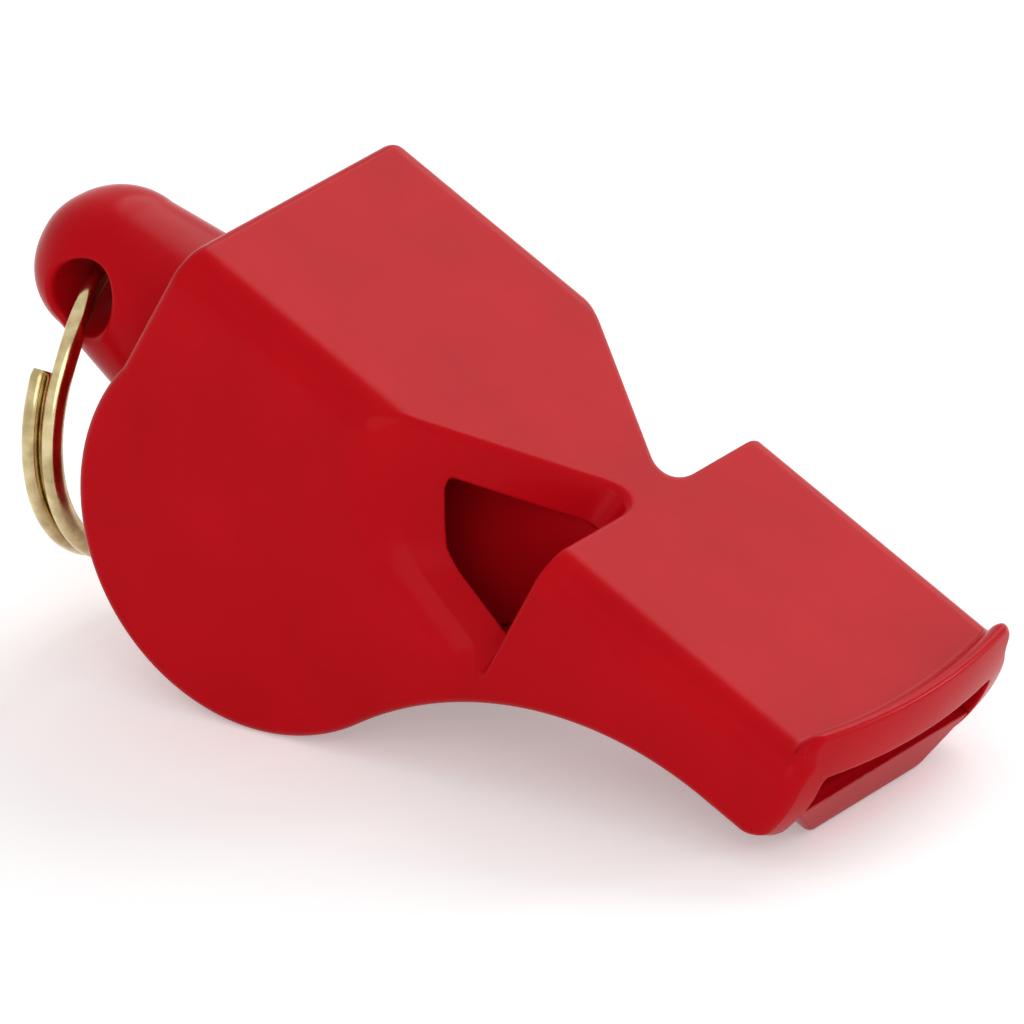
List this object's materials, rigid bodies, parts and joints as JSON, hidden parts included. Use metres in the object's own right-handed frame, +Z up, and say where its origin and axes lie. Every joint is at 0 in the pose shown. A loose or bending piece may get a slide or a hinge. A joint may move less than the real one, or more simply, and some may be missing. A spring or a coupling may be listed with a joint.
{
  "type": "pealess whistle",
  "caption": "Pealess sports whistle with a flat top, round belly, notched sides and a flat mouthpiece, and a split ring that swings in its lanyard lug.",
  "frame": {"origin": "on the table, under the middle of the whistle's box, which is measured with the ring hanging", "axes": "+Z up from the table it rests on, +X along its heading towards the mouthpiece, +Y to its left"},
  "size_m": [0.058, 0.0222, 0.0273],
  "materials": {
    "body_plastic": "glossy moulded",
    "closure_plastic": "glossy moulded",
    "ring_brass": "bright wire"
  },
  "bodies": {
    "whistle": {"main_body": "body_plastic", "lower_closure": "closure_plastic"},
    "ring": {"split_ring": "ring_brass"}
  },
  "joints": [
    {"name": "ring_swing", "type": "hinge", "parent": "whistle", "child": "ring", "pos_m": [-0.02385, 0, 0.01995], "axis": [0, 1, 0], "range_deg": [-12, 227]}
  ]
}
